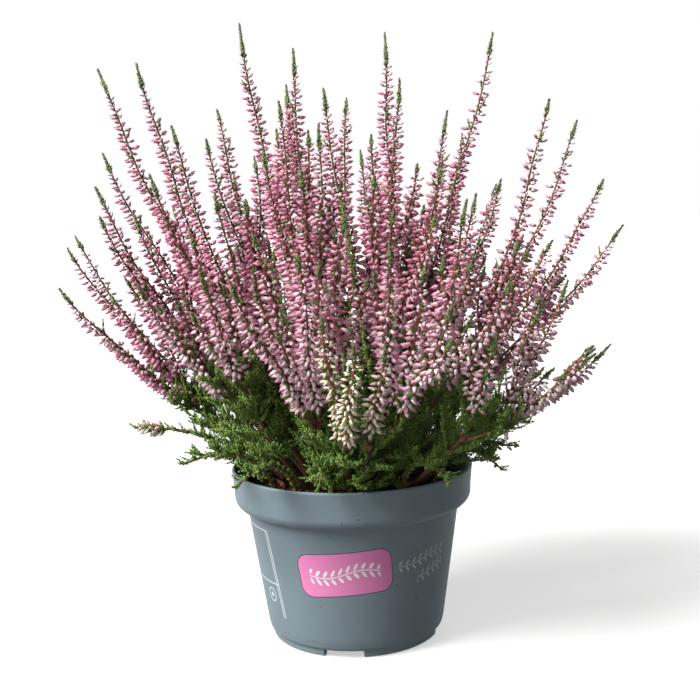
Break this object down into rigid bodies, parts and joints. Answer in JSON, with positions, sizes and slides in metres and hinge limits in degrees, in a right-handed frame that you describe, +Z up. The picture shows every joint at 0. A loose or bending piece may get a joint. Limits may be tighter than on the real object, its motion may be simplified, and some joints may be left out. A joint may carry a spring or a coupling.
{
  "type": "potted heather",
  "caption": "Flowering heather plant with upright bud-covered spikes and leafy shoots, growing in peat in a round tapered nursery pot.",
  "frame": {"origin": "on the pot's axis at the level of its foot ring, under the middle of the plant's bounding box", "axes": "+Z up along the pot's axis; -Y towards the viewer, where the cream sprays lean out"},
  "size_m": [0.281, 0.236, 0.302],
  "materials": {
    "pot_plastic": "slate-grey moulded polypropylene, slightly satin",
    "peat": "dark brown fibrous peat, matt",
    "foliage": "small green scale leaves on red-brown woody stems",
    "heather_pink": "papery pink buds, paler at the foot, on thin brown stems with green tips",
    "heather_cream": "papery cream buds, a little green at the foot"
  },
  "bodies": {
    "root": {"pot": "pot_plastic", "soil": "peat", "spray_01": "heather_pink", "spray_02": "heather_pink", "spray_03": "heather_pink", "spray_04": "heather_pink", "spray_05": "heather_pink", "spray_06": "heather_pink", "spray_07": "heather_pink", "spray_08": "heather_pink", "spray_09": "heather_pink", "spray_10": "heather_pink", "spray_11": "heather_pink", "spray_12": "heather_pink", "spray_13": "heather_pink", "spray_14": "heather_pink", "spray_15": "heather_pink", "spray_16": "heather_pink", "spray_17": "heather_pink", "spray_18": "heather_pink", "spray_19": "heather_pink", "spray_20": "heather_pink", "spray_21": "heather_pink", "spray_22": "heather_pink", "cream_spray_1": "heather_cream", "cream_spray_2": "heather_cream", "stem_01": "foliage", "stem_02": "foliage", "stem_03": "foliage", "stem_04": "foliage", "stem_05": "foliage", "stem_06": "foliage", "stem_07": "foliage", "stem_08": "foliage", "stem_09": "foliage", "stem_10": "foliage", "stem_11": "foliage", "stem_12": "foliage", "stem_13": "foliage", "stem_14": "foliage", "stem_15": "foliage", "stem_16": "foliage", "stem_17": "foliage", "stem_18": "foliage", "stem_19": "foliage", "stem_20": "foliage", "stem_21": "foliage", "stem_22": "foliage", "cream_stem_1": "foliage", "cream_stem_2": "foliage", "low_shoot_1": "foliage", "low_shoot_2": "foliage", "low_shoot_3": "foliage", "low_shoot_4": "foliage", "low_shoot_5": "foliage", "low_shoot_6": "foliage", "low_shoot_7": "foliage", "low_shoot_8": "foliage", "low_shoot_9": "foliage"}
  },
  "joints": []
}
